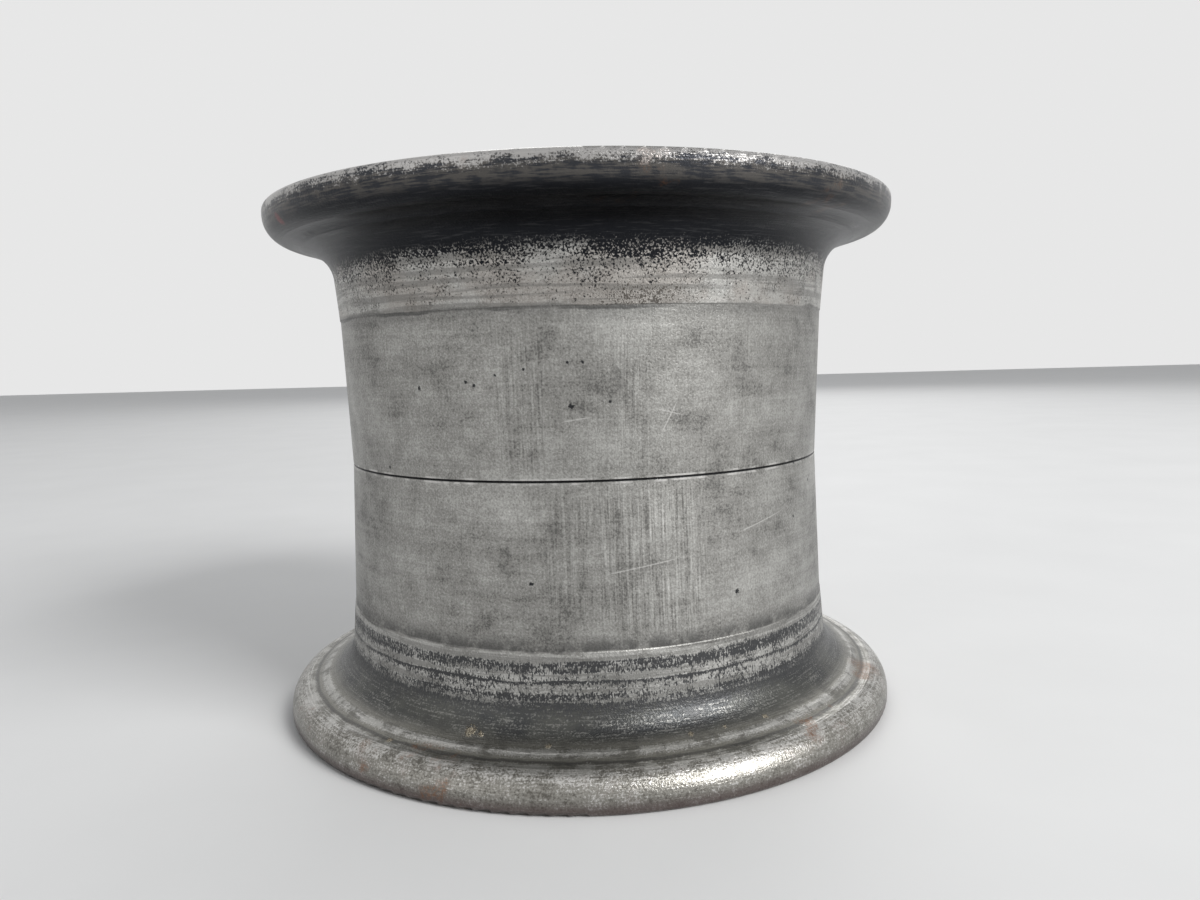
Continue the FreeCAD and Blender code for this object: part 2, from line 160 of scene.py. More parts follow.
class Finish:
    """A material being made: where on the wheel a point lies, noise in millimetres, and mixing of colours."""

    def __init__(self, name):
        self.material = bpy.data.materials.new(name)
        self.material.use_nodes = True
        self.tree = self.material.node_tree
        self.shader = self.tree.nodes["Principled BSDF"]
        position = self.node("ShaderNodeTexCoord", output="Object")
        self.place = self.node("ShaderNodeVectorMath", {"operation": "SCALE"}, {0: position, "Scale": MM})
        self.x = self.node("ShaderNodeSeparateXYZ", values={0: self.place})
        self.y, self.z = (Field(self, socket) for socket in self.x.socket.node.outputs[1:])
        self.height = abs(self.z)
        self.radius = self.distance_from(0.0, 0.0)

    def node(self, kind, settings=None, values=None, output=0):
        """Adds any node: its settings first, then the values or links of its sockets. Gives one of its outputs."""
        made = self.tree.nodes.new(kind)
        for name, setting in (settings or {}).items():
            setattr(made, name, setting)
        for key, value in (values or {}).items():
            if isinstance(value, Field):
                self.tree.links.new(value.socket, made.inputs[key])
            else:
                made.inputs[key].default_value = value
        return Field(self, made.outputs[output])

    def vector(self, x, y, z):
        return self.node("ShaderNodeCombineXYZ", values={0: x, 1: y, 2: z})

    def distance_from(self, x, y):
        """Distance in millimetres from the upright line through (x, y)."""
        across = self.x - x
        along = self.y - y
        return (across * across + along * along).root()

    def noise_at(self, x, y, z, detail=2.0, roughness=0.5, distortion=0.0):
        """Noise from 0 to 1, looked up at a place that is already scaled to the size of its features."""
        return self.node("ShaderNodeTexNoise", None, {
            "Vector": self.vector(x, y, z), "Scale": 1.0, "Detail": detail, "Roughness": roughness,
            "Distortion": distortion})

    def noise(self, across, upwards, detail=2.0, roughness=0.5, seed=0.0):
        """Noise from 0 to 1 whose features are about so many millimetres wide and high."""
        return self.noise_at(self.x / across + seed, self.y / across, self.z / upwards, detail, roughness)

    def spots(self, spacing, seed=0.0):
        """Distance in millimetres to the nearest of some scattered points, and a random value for each point."""
        vector = self.vector(self.x / spacing + seed, self.y / spacing, self.z / spacing)
        settings = {"feature": "F1"}
        distance = self.node("ShaderNodeTexVoronoi", settings, {"Vector": vector, "Scale": 1.0})
        cell = Field(self, distance.socket.node.outputs["Color"])
        return distance * spacing, self.node("ShaderNodeSeparateColor", values={0: cell})

    def mix(self, share, first, second):
        """The first colour where share is 0, the second where it is 1."""
        return self.node("ShaderNodeMix", {"data_type": "RGBA"}, {0: share, 6: first, 7: second}, output=2)

    def apply(self, colour=None, metallic=None, roughness=None, relief=None, relief_depth=0.0002, **constants):
        """Sets the shader's inputs; relief is a height from 0 to 1 and relief_depth its size in metres."""
        for name, value in {"Base Color": colour, "Metallic": metallic, "Roughness": roughness}.items():
            if isinstance(value, Field):
                self.tree.links.new(value.socket, self.shader.inputs[name])
            elif value is not None:
                self.shader.inputs[name].default_value = value
        for name, value in constants.items():
            self.shader.inputs[name.replace("_", " ")].default_value = value
        if relief is not None:
            bump = self.node("ShaderNodeBump", None, {"Strength": 1.0, "Distance": relief_depth, "Height": relief})
            self.tree.links.new(bump.socket, self.shader.inputs["Normal"])
        return self.material


def rgb(red, green, blue):
    """A colour with its alpha, written as the light that it sends back from 0 to 1."""
    return (red, green, blue, 1.0)


# %% [markdown]
# ## The cast alloy: colours and the noises that all its regions share
#
# The two castings carry most of the look, and each shows five kinds of surface: the drum, the bead seats, the
# flanges, the machined faces and the inside. They could be five materials, but the casting is one piece of metal
# and its stains run across the borders. So one material holds all five, laid over each other by masks of place.
# Noise is what costs render time, so eight noises are made once and every region borrows from them.

# %% Colours of the alloy
BRIGHT_METAL = rgb(0.60, 0.59, 0.57)
WORN_METAL = rgb(0.425, 0.420, 0.400)
DULL_METAL = rgb(0.270, 0.265, 0.250)
STAINED_METAL = rgb(0.145, 0.142, 0.134)
SMUT = rgb(0.060, 0.059, 0.058)
# GRIME_AND_SHADE is the black of pits and of the joint line, and also painted shade on the upper half near its flange.
GRIME_AND_SHADE = rgb(0.013, 0.014, 0.017)
RUST = rgb(0.170, 0.075, 0.030)


# %% [markdown]
# ## The cast alloy: its noises, spots and scratches
#
# Every stain on the casting is read from one of these noises. They differ in the size and the stretch of their
# features, from clouds as wide as a hand to single flecks. A mark that has a place of its own, such as a dent, is
# the inside of a small ball round that place. The noise moves the ball's surface in and out, so its edge is torn.

# %% The casting's own noises
class Casting(Finish):
    """The finish of both wheel halves, with the noises that its regions share."""

    def __init__(self):
        super().__init__("cast_alloy")
        self.upper = self.z.above(-1.0, 1.0)
        self.lower = 1.0 - self.upper
        self.front = self.y.below(-30.0, -10.0)
        self.clouds = self.noise(27.0, 20.0, detail=4.0, roughness=0.62, seed=3.0)
        self.patches = self.noise(6.0, 6.0, detail=4.0, roughness=0.68, seed=11.0)
        self.grain = self.noise(0.55, 0.55, detail=2.0, roughness=0.70, seed=5.0)
        self.flecks = self.noise(0.44, 1.10, detail=2.0, roughness=0.70, seed=17.0)
        self.bands = self.noise(40.0, 1.3, detail=2.0, roughness=0.60, seed=33.0)
        self.lines = self.noise(0.50, 40.0, detail=1.0, seed=9.0)
        self.bars = self.noise(2.0, 60.0, detail=1.0, seed=19.0)
        self.scour = self.noise_at(self.radius / 0.50, self.z / 0.50, self.x / 6.0, detail=2.0, roughness=0.62)

    def spot(self, x, y, z, reach):
        """1 inside a small ragged ball round a place in millimetres, for a dent or a lump that sits there."""
        away = self.node("ShaderNodeVectorMath", {"operation": "DISTANCE"}, {0: self.place, 1: (x, y, z)},
                         output="Value")
        return (away + (self.grain - 0.5) * reach * 2.0).below(reach * 0.6, reach * 1.1)

    def scratch(self, start, end, width):
        """Share of a straight scratch on the near side, between two places given by x and height."""
        length = math.hypot(end[0] - start[0], end[1] - start[1])
        dx, dz = (end[0] - start[0]) / length, (end[1] - start[1]) / length
        across = self.x - start[0]
        upwards = self.z - start[1]
        off_line = abs(upwards * dx - across * dz)
        along = across * dx + upwards * dz
        return (off_line.below(width * 0.3, width) * along.above(0.0, length * 0.2)
                * along.below(length * 0.7, length) * self.front)


def largest(fields):
    """The largest of several fields, wherever each point lies."""
    fields = list(fields)
    found = fields[0]
    for field in fields[1:]:
        found = found.larger(field)
    return found


# %% [markdown]
# ## The cast alloy: the drum between the bead seats
#
# Under the tube the drum was turned smooth and has since dulled to a warm grey. It could be given a single grey
# with a little noise, but a worn casting shows several things at once: cloudy stains tens of millimetres across,
# a fine grain, faint marks along the axle line where tyres were dragged on and off, and small dark pits. Each is
# noise that is stretched its own way, so the drum is their sum.

# %% Marks on the drum, in millimetres: straight scratches, pits and places where tyres were dragged
scratches = [((-5.6, 14.8), (2.9, 16.0), 0.25), ((3.4, -23.6), (25.7, -20.2), 0.22),
             ((38.8, -16.3), (55.1, -12.2), 0.24), ((19.0, 11.0), (23.5, 19.5), 0.20),
             ((17.5, 17.5), (25.0, 15.5), 0.18)]
pits = [(-3.1, -73.9, 18.6, 0.75), (-3.6, -74.3, 29.3, 0.45), (0.0, -74.5, 29.3, 0.45), (-29.2, -68.3, 25.0, 0.5),
        (-27.0, -69.2, 24.2, 0.5), (-21.6, -71.1, 26.6, 0.4), (-14.4, -72.9, 27.9, 0.4), (-42.1, -61.1, 23.7, 0.7),
        (-14.2, -72.9, -25.5, 0.6), (38.8, -63.6, -31.6, 0.75)]
drag_marks = [(-15.5, 4.0, 1.0, 36.0, 0.55), (12.0, 1.2, 2.0, 34.0, 0.6), (16.0, 11.0, -40.0, -1.0, 0.9),
              (-4.0, 4.0, -34.0, -2.0, 0.6)]


def drag_mark_share(f):
    """Where the upright marks are strongest: the listed places, and others picked by the clouds elsewhere."""
    places = [f.clouds.above(0.54, 0.64) * 0.5 * (1.0 - f.front)]
    for x, reach, low, high, strength in drag_marks:
        level = f.z.above(low - 4.0, low + 6.0) * f.z.below(high - 7.0, high + 4.0)
        places.append(f.x.near(x, reach, 4.0) * level * f.front * strength)
    return largest(places)


# %% [markdown]
# ## The cast alloy: the drum's tone and its marks
#
# All the drum's noises are added into one number, its tone, and four greys are laid over each other as it rises.
# Four separate masks would also work, but their edges would cross at random. With one tone, dark always fades to
# light through the greys between. The marks in the lists above come last and lie on top.

# %% The drum
def drum(f):
    """Colour, relief and tone of the drum: clouds, grain, brushing, upright marks, scratches and pits."""
    marks = drag_mark_share(f)
    tone = f.clouds * 0.80 + f.patches * 0.46 + f.grain * 0.90 + f.lines * 0.17 + f.bands * 0.27
    tone = tone + marks * ((f.bars - 0.5) * 0.40 + (f.lines - 0.5) * (0.35 + f.patches * 0.80) - 0.04)
    colour = f.mix(tone.above(1.02, 1.24), STAINED_METAL, DULL_METAL)
    colour = f.mix(tone.above(1.20, 1.56), colour, WORN_METAL)
    colour = f.mix(tone.above(1.50, 1.76), colour, BRIGHT_METAL)
    smudge = (f.patches * 0.50 + f.clouds * 0.35 + f.flecks * 0.15).below(0.35, 0.45)
    colour = f.mix(smudge * 0.30, colour, SMUT)

    cuts = largest(f.scratch(*mark) for mark in scratches)
    colour = f.mix(cuts * (0.15 + f.flecks * 0.7), colour, BRIGHT_METAL)
    distance, chance = f.spots(6.5, seed=1.0)
    holes = largest([distance.below(0.25, 0.60) * chance.above(0.84, 0.88)]
                    + [f.spot(*place) for place in pits])
    colour = f.mix(holes * 0.92, colour, GRIME_AND_SHADE)
    relief = (f.grain - 0.5) * 0.55 + (f.lines - 0.5) * 0.25
    return colour, relief, tone - cuts


# %% [markdown]
# ## The cast alloy: the bead seats
#
# The tyre's beads sat here for years with water behind them, so the seat is bright where rubber kept it and black with
# pits where it did not. On the upper half the pits crowd towards the flange until they meet, and that black under the
# flange's overhang is also painted shade. On the lower half, bright and dark flecks mix in bands. Both are one idea:
# noise is dark where it lies under a limit, and the limit changes with height, so the limit says how much of the metal
# is dark at each level. A dark line along the toe is a tide mark and, mostly on the upper half, a painted shadow under
# the small step there.

# %% Bead seats
def bead_seat(f, drum_colour):
    """Colour, relief and dark share of both seats: the limit under which the flecks turn dark is a curve."""
    h = f.height
    # On the upper half the dark share climbs towards the flange until it is whole: pits, and painted shade under the
    # flange's overhang.
    climb = ((h - 44.6 + (f.clouds - 0.5) * 8.0) / 15.0).larger(0.0)
    upper_limit = 0.330 + climb * 0.05 + climb * climb * 0.22 + (f.bands - 0.5) * 0.24
    upper_pits_and_shade = (f.grain + (f.patches - 0.5) * 0.30).below(upper_limit - 0.02, upper_limit + 0.035)

    rough_h = h + (f.flecks - 0.5) * 2.4 + (f.clouds - 0.5) * 2.4
    lower_limit = (0.430 + rough_h.near(46.6, 1.0, 1.0) * 0.110 + rough_h.near(50.6, 0.15, 0.45) * 0.17
                   - h.below(44.2, 45.2) * 0.12 + rough_h.above(51.4, 61.0) * 0.30 + (f.bands - 0.5) * 0.42)
    mixed_flecks = f.flecks * 0.75 + f.grain * 0.25 + (f.patches - 0.5) * 0.30
    lower_dark = mixed_flecks.below(lower_limit - 0.045, lower_limit + 0.055)
    dark = f.upper * upper_pits_and_shade + f.lower * lower_dark

    silver = f.mix(f.patches.above(0.36, 0.62), DULL_METAL, WORN_METAL)
    silver = f.mix(f.grain.above(0.50, 0.64) * 0.7, silver, BRIGHT_METAL)
    silver = f.mix(f.clouds.above(0.42, 0.60) * f.upper * 0.45, silver, rgb(0.300, 0.262, 0.232))
    silver = f.mix(f.bands.below(0.40, 0.56) * 0.55, silver, STAINED_METAL)
    brown_pits = (f.x.near(16.0, 6.0, 14.0) * f.front * f.upper * h.near(44.5, 2.0, 3.0) * 0.15 + f.grain * 0.7
                  + f.flecks * 0.3 + (f.patches - 0.5) * 0.35).above(0.665, 0.70)
    silver = f.mix(brown_pits * 0.85, silver, rgb(0.050, 0.042, 0.034))
    # Dark flecks are a dark grey below and black above; the upper black is also painted shade.
    black_and_shade = f.mix(f.upper, rgb(0.064, 0.065, 0.067), GRIME_AND_SHADE)

    wavy_h = h + (f.clouds - 0.5) * 3.6
    # A patchy dark line along the toe, strongest on the upper half: a tide mark, and a painted shadow under the small
    # step there.
    tide_and_step_shadow = (wavy_h.near(bead_toe_height - 0.3, 0.25, 0.50) * (f.clouds + f.x * -0.0016).above(0.40, 0.62)
            * (0.10 + f.upper * 0.65))
    smear = wavy_h.above(38.0, 42.2) * wavy_h.below(42.6, 43.2) * (0.75 - f.upper * 0.40)
    colour = f.mix(smear * f.patches.above(0.34, 0.56), drum_colour, SMUT)
    colour = f.mix(wavy_h.above(bead_toe_height - 0.2, bead_toe_height + 0.3), colour, silver)
    colour = f.mix(dark * h.above(bead_toe_height, bead_toe_height + 1.0), colour, black_and_shade)
    colour = f.mix(tide_and_step_shadow, colour, SMUT)
    relief = (f.grain - 0.5) * 0.6 + (f.flecks - 0.5) * 0.6
    return colour, relief, dark


# %% [markdown]
# ## The cast alloy: heel and flange
#
# Between the bead seat and the flange the metal is dark with old rubber: a smooth olive grey on the lower half, and
# nearly black on the upper half, where the flange faces down and the black is also painted shade. The flange stands
# proud in two ridges. Whatever rubs there polishes them first, and on the lower flange, which faces up, the outer
# ridge also carries a painted highlight, so the ridges are the lightest part. Past the outer ridge the rolled edge is
# a brownish grey, scoured round and round, painted darker as shade on the upper half and along the lower one's outer
# edge. A streak follows the rim if noise changes fast with radius and height and slowly along the rim.

# %% Places on the flanges, each as x, y, height and reach in millimetres: dried dirt, rust and a dab of paint
debris = [(-30.8, -74.4, -62.6, 1.7), (-28.2, -75.8, -62.8, 0.9), (-52.2, -70.9, -65.4, 1.0),
          (24.5, -78.5, -63.2, 0.9), (45.0, -69.0, -63.4, 0.9), (-11.0, -82.0, -63.6, 0.8), (33.5, -75.0, -63.0, 0.8)]
rust_patches = [(83.8, -29.3, -65.6, 6.0), (80.5, -36.0, -66.5, 4.0), (-58.0, -70.0, -68.5, 3.0)]
paint_mark = (-78.3, -51.6, 68.4, 2.2)


# %% [markdown]
# ## The cast alloy: from the heel out to the rolled edge
#
# The two flanges have one shape. The upper one faces down and the lower one up, so each has its own colours, dark with
# painted shade above and with painted highlights on the ridges below, and the height picks between them. The distance
# from the axle line says where a point lies between the heel, the ridges and the rolled edge.

# %% Heel and flange
def flange(f):
    """Colour, relief and brightness from the heel outwards, along the radius and up the rolled edge."""
    r = f.radius
    h = f.height
    olive = f.mix(f.clouds.above(0.40, 0.60), rgb(0.046, 0.048, 0.049), rgb(0.086, 0.087, 0.080))
    olive = f.mix(r.above(79.5, 84.5) * 0.90, olive, rgb(0.250, 0.243, 0.215))
    olive = f.mix((f.grain * 0.6 + f.scour * 0.5).above(0.56, 0.68) * 0.55, olive, DULL_METAL)
    olive = f.mix((f.scour * 0.4 + f.patches * 0.7).below(0.44, 0.56) * 0.40, olive, SMUT)
    line = (r + (f.patches - 0.5) * 1.6).near(outer_ridge_radius - 2.4, 0.25, 0.6)
    olive = f.mix(line * 0.65, olive, SMUT)
    # Near-black heel and rolled edge of the upper flange, which faces down: old rubber, and painted shade.
    black_and_shade = f.mix(f.scour.above(0.52, 0.68) * 0.35, GRIME_AND_SHADE, rgb(0.075, 0.075, 0.078))
    base = f.mix(f.lower, black_and_shade, olive)

    ragged = r + (f.flecks - 0.5) * 3.0 + (f.patches - 0.5) * 3.0
    broken = (f.patches * 0.55 + f.scour * 0.45).above(0.44, 0.54)
    # The ridges' bright wear is laid on the lower flange only; along the outer crest it is also a painted highlight,
    # where that flange faces up to the light.
    inner_wear = (r + (f.flecks - 0.5) * 3.6).near(inner_ridge_radius + 0.1, 0.8, 0.6) * f.patches.above(0.36, 0.50)
    outer_wear_and_highlight = ragged.near(outer_ridge_radius + 0.2, 1.1, 1.3) * broken
    scuffed_and_highlit = f.mix(f.patches.above(0.38, 0.58), STAINED_METAL, WORN_METAL)
    scuffed_and_highlit = f.mix((f.grain * 0.5 + f.scour * 0.5).above(0.50, 0.60) * 0.8, scuffed_and_highlit, BRIGHT_METAL)
    wear_and_highlight = inner_wear.larger(outer_wear_and_highlight) * f.lower

    rolled = (r + (f.grain - 0.5) * 1.5).above(outer_ridge_radius - 1.2, outer_ridge_radius + 1.2)
    streaks = f.scour * 0.22 + f.grain * 0.50 + f.patches * 0.45
    low_tone = f.mix(streaks.above(0.45, 0.58), rgb(0.120, 0.113, 0.100), rgb(0.265, 0.256, 0.232))
    low_tone = f.mix((streaks - h.above(66.5, 70.0) * 0.05).above(0.55, 0.66) * 0.9, low_tone, BRIGHT_METAL)
    low_tone = f.mix((f.patches * 0.6 + f.clouds * 0.4).above(0.50, 0.62) * 0.45, low_tone, rgb(0.115, 0.086, 0.070))
    # A dark brown band on the lower rolled edge past 71 mm, where it turns down towards the floor: painted shade.
    low_tone = f.mix(h.above(71.0, 74.0) * 0.75, low_tone, rgb(0.095, 0.070, 0.068))
    # The upper rolled edge is dark, a little cool and black near the heel: painted shade and a painted reflection of a
    # dark surround, as that edge faces down.
    upper_shaded_tone = f.mix((f.scour * 0.6 + f.patches * 0.5).above(0.48, 0.62), rgb(0.040, 0.042, 0.048),
                      rgb(0.100, 0.094, 0.088))
    upper_shaded_tone = f.mix(h.below(67.6, 70.2), upper_shaded_tone, black_and_shade)
    # Silver flecks on the upper rolled edge, more of them towards its top, which faces up: scratches, and painted
    # light on that top.
    flecked_and_top_light = (streaks + (h - 73.0) * 0.055).above(0.56, 0.68) * h.above(70.4, 72.0)
    upper_shaded_tone = f.mix(flecked_and_top_light * 0.85, upper_shaded_tone, rgb(0.46, 0.45, 0.44))
    colour = f.mix(rolled, base, f.mix(f.upper, low_tone, upper_shaded_tone))
    colour = f.mix(wear_and_highlight * 0.85, colour, scuffed_and_highlit)

    rust = (f.clouds * 0.6 + f.patches * 0.5).above(0.62, 0.70) * r.above(inner_ridge_radius, inner_ridge_radius + 3.0)
    rust = rust.larger(largest(f.spot(*place) for place in rust_patches) * 0.9)
    colour = f.mix(rust * f.grain.above(0.38, 0.56) * (0.25 + f.lower * 0.50), colour, RUST)
    colour = f.mix(f.spot(*paint_mark) * f.grain.above(0.36, 0.52) * 0.8, colour, rgb(0.20, 0.045, 0.050))
    lumps = largest(f.spot(*place) for place in debris)
    dirt = f.mix(f.flecks.above(0.42, 0.58), rgb(0.15, 0.125, 0.090), rgb(0.42, 0.37, 0.28))
    colour = f.mix(lumps * 0.75, colour, dirt)
    relief = (f.grain - 0.5) * 0.55 + (f.scour - 0.5) * 0.35 + lumps * 1.2
    return colour, relief, wear_and_highlight.larger(rolled * 0.6)


# %% [markdown]
# ## The cast alloy: machined faces and the inside
#
# The end faces of the rim and the ends of the hubs were faced on a lathe, so they keep a bright turned look under
# their scratches. The rest of the inside was left as it came from the mould: a sandy skin, darker with brake dust
# and oil low down in the dish, where a rag never reaches.

# %% Machined faces and the inside
def machined(f):
    """Bright turned metal: fine rings round the axle line, dulled in clouds and nicked."""
    nicks = (f.grain * 0.6 + f.patches * 0.4).below(0.38, 0.44)
    colour = f.mix(f.patches.above(0.38, 0.62), DULL_METAL, WORN_METAL)
    colour = f.mix(f.scour.above(0.46, 0.66) * 0.6, colour, BRIGHT_METAL)
    return f.mix(nicks * 0.7, colour, SMUT), (f.scour - 0.5) * 0.4


def inside(f):
    """Sandy cast skin that darkens towards the web, with oil runs and grey high places."""
    depth = f.height.below(web_thickness + 2.0, web_thickness + 34.0)
    colour = f.mix(f.clouds.above(0.38, 0.62), rgb(0.180, 0.172, 0.158), DULL_METAL)
    colour = f.mix(f.grain.below(0.40, 0.54) * 0.55, colour, rgb(0.100, 0.096, 0.088))
    colour = f.mix(f.grain.above(0.58, 0.70) * 0.5, colour, WORN_METAL)
    runs = (f.bars * 0.5 + f.patches * 0.5).above(0.44, 0.58)
    return f.mix(depth * (0.25 + runs * 0.5), colour, rgb(0.062, 0.054, 0.044)), (f.grain - 0.5) * 1.3


# %% [markdown]
# ## The cast alloy: all regions in one finish
#
# The regions are laid down from the middle of the wheel outwards: the drum, the seat and the flange. Then come the
# joint line, the inside and the machined faces. Where the seat meets the flange the border is torn by the flecks,
# as it is where old rubber has let go. Roughness and metal follow the same masks, so dull places also look dull.

# %% The whole casting
def cast_alloy():
    """One finish for both halves: each region's colour and relief, laid over the last by a mask of place."""
    f = Casting()
    h = f.height
    r = f.radius
    drum_colour, drum_relief, tone = drum(f)
    seat_colour, seat_relief, dark = bead_seat(f, drum_colour)
    flange_colour, flange_relief, wear_and_highlight = flange(f)
    face_colour, face_relief = machined(f)
    inner_colour, inner_relief = inside(f)

    on_seat = h.above(bead_toe_height - 0.5, bead_toe_height + 0.5)
    ragged = (f.flecks - 0.5) * (6.0 + f.lower * 8.0)
    on_flange = (h + ragged).above(heel_start_height, heel_start_height + 5.0)
    flange_place = h.above(heel_start_height, heel_start_height + 4.0)
    colour = f.mix(h.above(36.0, 38.0), drum_colour, seat_colour)
    colour = f.mix(on_flange, colour, flange_colour)
    relief = drum_relief * (1.0 - on_seat) + seat_relief * on_seat
    relief = relief * (1.0 - flange_place) + flange_relief * flange_place

    joint = h.below(0.20, 0.34)
    # A bright patchy line along each edge of the joint: a painted highlight on the small chamfers there.
    joint_edge_highlight = h.near(0.55, 0.15, 0.25) * f.patches.above(0.44, 0.60)
    colour = f.mix(joint_edge_highlight * 0.75, colour, BRIGHT_METAL)
    colour = f.mix(joint * 0.92, colour, GRIME_AND_SHADE)

    within = r.below(rim_mouth_radius + 0.8, rim_mouth_radius + 1.4)
    colour = f.mix(within, colour, inner_colour)
    relief = relief * (1.0 - within) + inner_relief * within
    hub_ends = [(f.z * sign).above(hub_end_height[side] - 0.5, hub_end_height[side] - 0.2)
                * r.below(hub_radius, hub_radius + 0.5) for side, sign in (("outboard", 1.0), ("inboard", -1.0))]
    pads = [f.distance_from(bolt_circle_radius * math.cos(azimuth), bolt_circle_radius * math.sin(azimuth))
            .below(bolt_pad_radius - 0.2, bolt_pad_radius + 0.2)
            * h.near(bolt_pad_height, 0.3, 0.3) for azimuth in bolt_azimuths]
    # The band at each end of the rim is the faced end; on the upper flange its outer edge also shows as a thin bright
    # line along the top, a painted highlight.
    faced_and_edge_highlight = largest([h.above(half_width - 0.35, half_width - 0.08)] + hub_ends + pads)
    colour = f.mix(faced_and_edge_highlight, colour, face_colour)
    relief = relief * (1.0 - faced_and_edge_highlight) + face_relief * faced_and_edge_highlight

    stained = (dark * on_seat * (1.0 - on_flange)).larger(on_flange * (1.0 - wear_and_highlight)) * (1.0 - within) * (1.0 - faced_and_edge_highlight)
    metallic = 0.90 - within * 0.35 + faced_and_edge_highlight * 0.05
    roughness = 0.43 - on_flange * 0.10 + stained * 0.02 + within * 0.16 - faced_and_edge_highlight * 0.06 - (tone - 1.1) * 0.10
    return f.apply(colour, metallic, roughness, relief, relief_depth=0.00020)


alloy = cast_alloy()
print("cast alloy nodes:", len(alloy.node_tree.nodes))


# %% [markdown]
# ## Bearing steel
#
# The cone, its rollers and the cup they roll in are hard steel, ground bright and wet with grease. A mirror would
# look like plastic wrap here. A film of old grease is modelled instead: brownish, thicker in some places, and
# where it is thick the surface is smoother but darker.

# %% Bearing steel
def bearing_steel():
    """Ground rings round the axle line under patches of brown grease."""
    f = Finish("bearing_steel")
    rings = f.noise_at(f.radius / 0.12, f.x / 40.0, f.z / 0.12)
    grease = f.noise(4.0, 4.0, detail=4.0, roughness=0.6, seed=3.0).above(0.40, 0.62)
    streaks = f.noise(2.0, 2.0, detail=3.0, roughness=0.7, seed=9.0)
    colour = f.mix(rings.above(0.40, 0.62), rgb(0.40, 0.40, 0.39), rgb(0.56, 0.56, 0.55))
    colour = f.mix(grease * 0.75, colour, rgb(0.120, 0.080, 0.038))
    colour = f.mix(streaks.below(0.26, 0.38) * 0.6, colour, rgb(0.045, 0.038, 0.030))
    return f.apply(colour, 0.95 - grease * 0.35, 0.20 + grease * 0.16, rings * 0.4 + grease * 0.5,
                   relief_depth=0.00004, Coat_Roughness=0.12)


# %% [markdown]
# ## Cage steel
#
# The cages are pressed from sheet. They never carry load, so they stay dull where the rollers don't rub them. One
# fine grain for the sheet, one mask for the rubbed places and one for grease are enough.

# %% Cage steel
def cage_steel():
    """Pressed sheet: dull, slightly oily, rubbed brighter where the rollers press on it."""
    f = Finish("cage_steel")
    grain = f.noise(0.5, 0.5, detail=3.0, roughness=0.7, seed=5.0)
    rubbed = f.noise(3.0, 3.0, detail=3.0, seed=13.0).above(0.48, 0.64)
    grease = f.noise(5.0, 5.0, detail=3.0, seed=21.0).above(0.50, 0.66)
    colour = f.mix(rubbed, rgb(0.20, 0.19, 0.175), rgb(0.36, 0.35, 0.33))
    colour = f.mix(grease * 0.7, colour, rgb(0.10, 0.066, 0.030))
    return f.apply(colour, 0.85 - grease * 0.4, 0.36 - grease * 0.1, grain, relief_depth=0.00005)


# %% [markdown]
# ## Seal rings, felt and snap ring
#
# Each hub is closed by a felt ring between two thin steel rings, and a sprung wire ring in a groove holds them in.
# The steel rings collect dust on oil and rust a little at their rims. Felt has no pattern of its own, only
# fibres that lie every way, so it is made from noise stretched along two crossing directions.

# %% Seal steel, spring steel and felt
def seal_steel():
    """Pressed rings with faint turning marks, dust on oil, and rust that begins at the rim."""
    f = Finish("seal_steel")
    rings = f.noise_at(f.radius / 0.22, f.x / 50.0, f.z / 0.5)
    clouds = f.noise(5.0, 5.0, detail=4.0, roughness=0.65, seed=2.0)
    specks = f.noise(0.7, 0.7, detail=3.0, roughness=0.7, seed=7.0)
    rim = f.radius.above(29.2, 31.2)
    colour = f.mix(clouds.above(0.36, 0.64), rgb(0.22, 0.215, 0.20), rgb(0.40, 0.395, 0.38))
    colour = f.mix(rings.above(0.52, 0.70) * 0.3, colour, rgb(0.52, 0.52, 0.50))
    rust = (rim * 0.45 + specks * 0.8 + clouds * 0.35).above(0.80, 0.98)
    colour = f.mix(rust * 0.8, colour, RUST)
    colour = f.mix(clouds.below(0.28, 0.42) * 0.6, colour, rgb(0.055, 0.045, 0.032))
    return f.apply(colour, 0.9 - rust * 0.75, 0.34 + rust * 0.3 + specks * 0.1, rings * 0.3 + rust * 0.6,
                   relief_depth=0.00008)


def spring_steel():
    """Dark phosphate, rubbed to bare metal in patches where the ring is squeezed with pliers."""
    f = Finish("spring_steel")
    grain = f.noise(0.45, 0.45, detail=3.0, roughness=0.7, seed=4.0)
    rubbed = f.noise(2.4, 2.4, detail=4.0, roughness=0.7, seed=8.0).above(0.54, 0.64)
    colour = f.mix(rubbed, f.mix(grain.above(0.40, 0.60), rgb(0.030, 0.030, 0.032), rgb(0.062, 0.058, 0.055)),
                   rgb(0.32, 0.31, 0.30))
    return f.apply(colour, 0.35 + rubbed * 0.55, 0.50 - rubbed * 0.16, grain, relief_depth=0.00006)


def felt():
    """Fibres that cross two ways, flattened and dark where grease has soaked in."""
    f = Finish("felt")
    fibres = f.noise_at(f.x / 0.16, f.y / 1.5, f.z / 0.4, detail=3.0, distortion=1.6)
    crossed = f.noise_at(f.x / 1.5, f.y / 0.16, f.z / 0.4, detail=3.0, distortion=1.6)
    soaked = f.noise(6.0, 6.0, detail=3.0, roughness=0.6, seed=6.0).above(0.38, 0.62)
    weave = fibres.larger(crossed)
    colour = f.mix(weave.above(0.48, 0.72), rgb(0.105, 0.090, 0.070), rgb(0.300, 0.270, 0.225))
    colour = f.mix(soaked * 0.72, colour, rgb(0.055, 0.040, 0.024))
    return f.apply(colour, 0.0, 0.94 - soaked * 0.32, weave, relief_depth=0.00035)


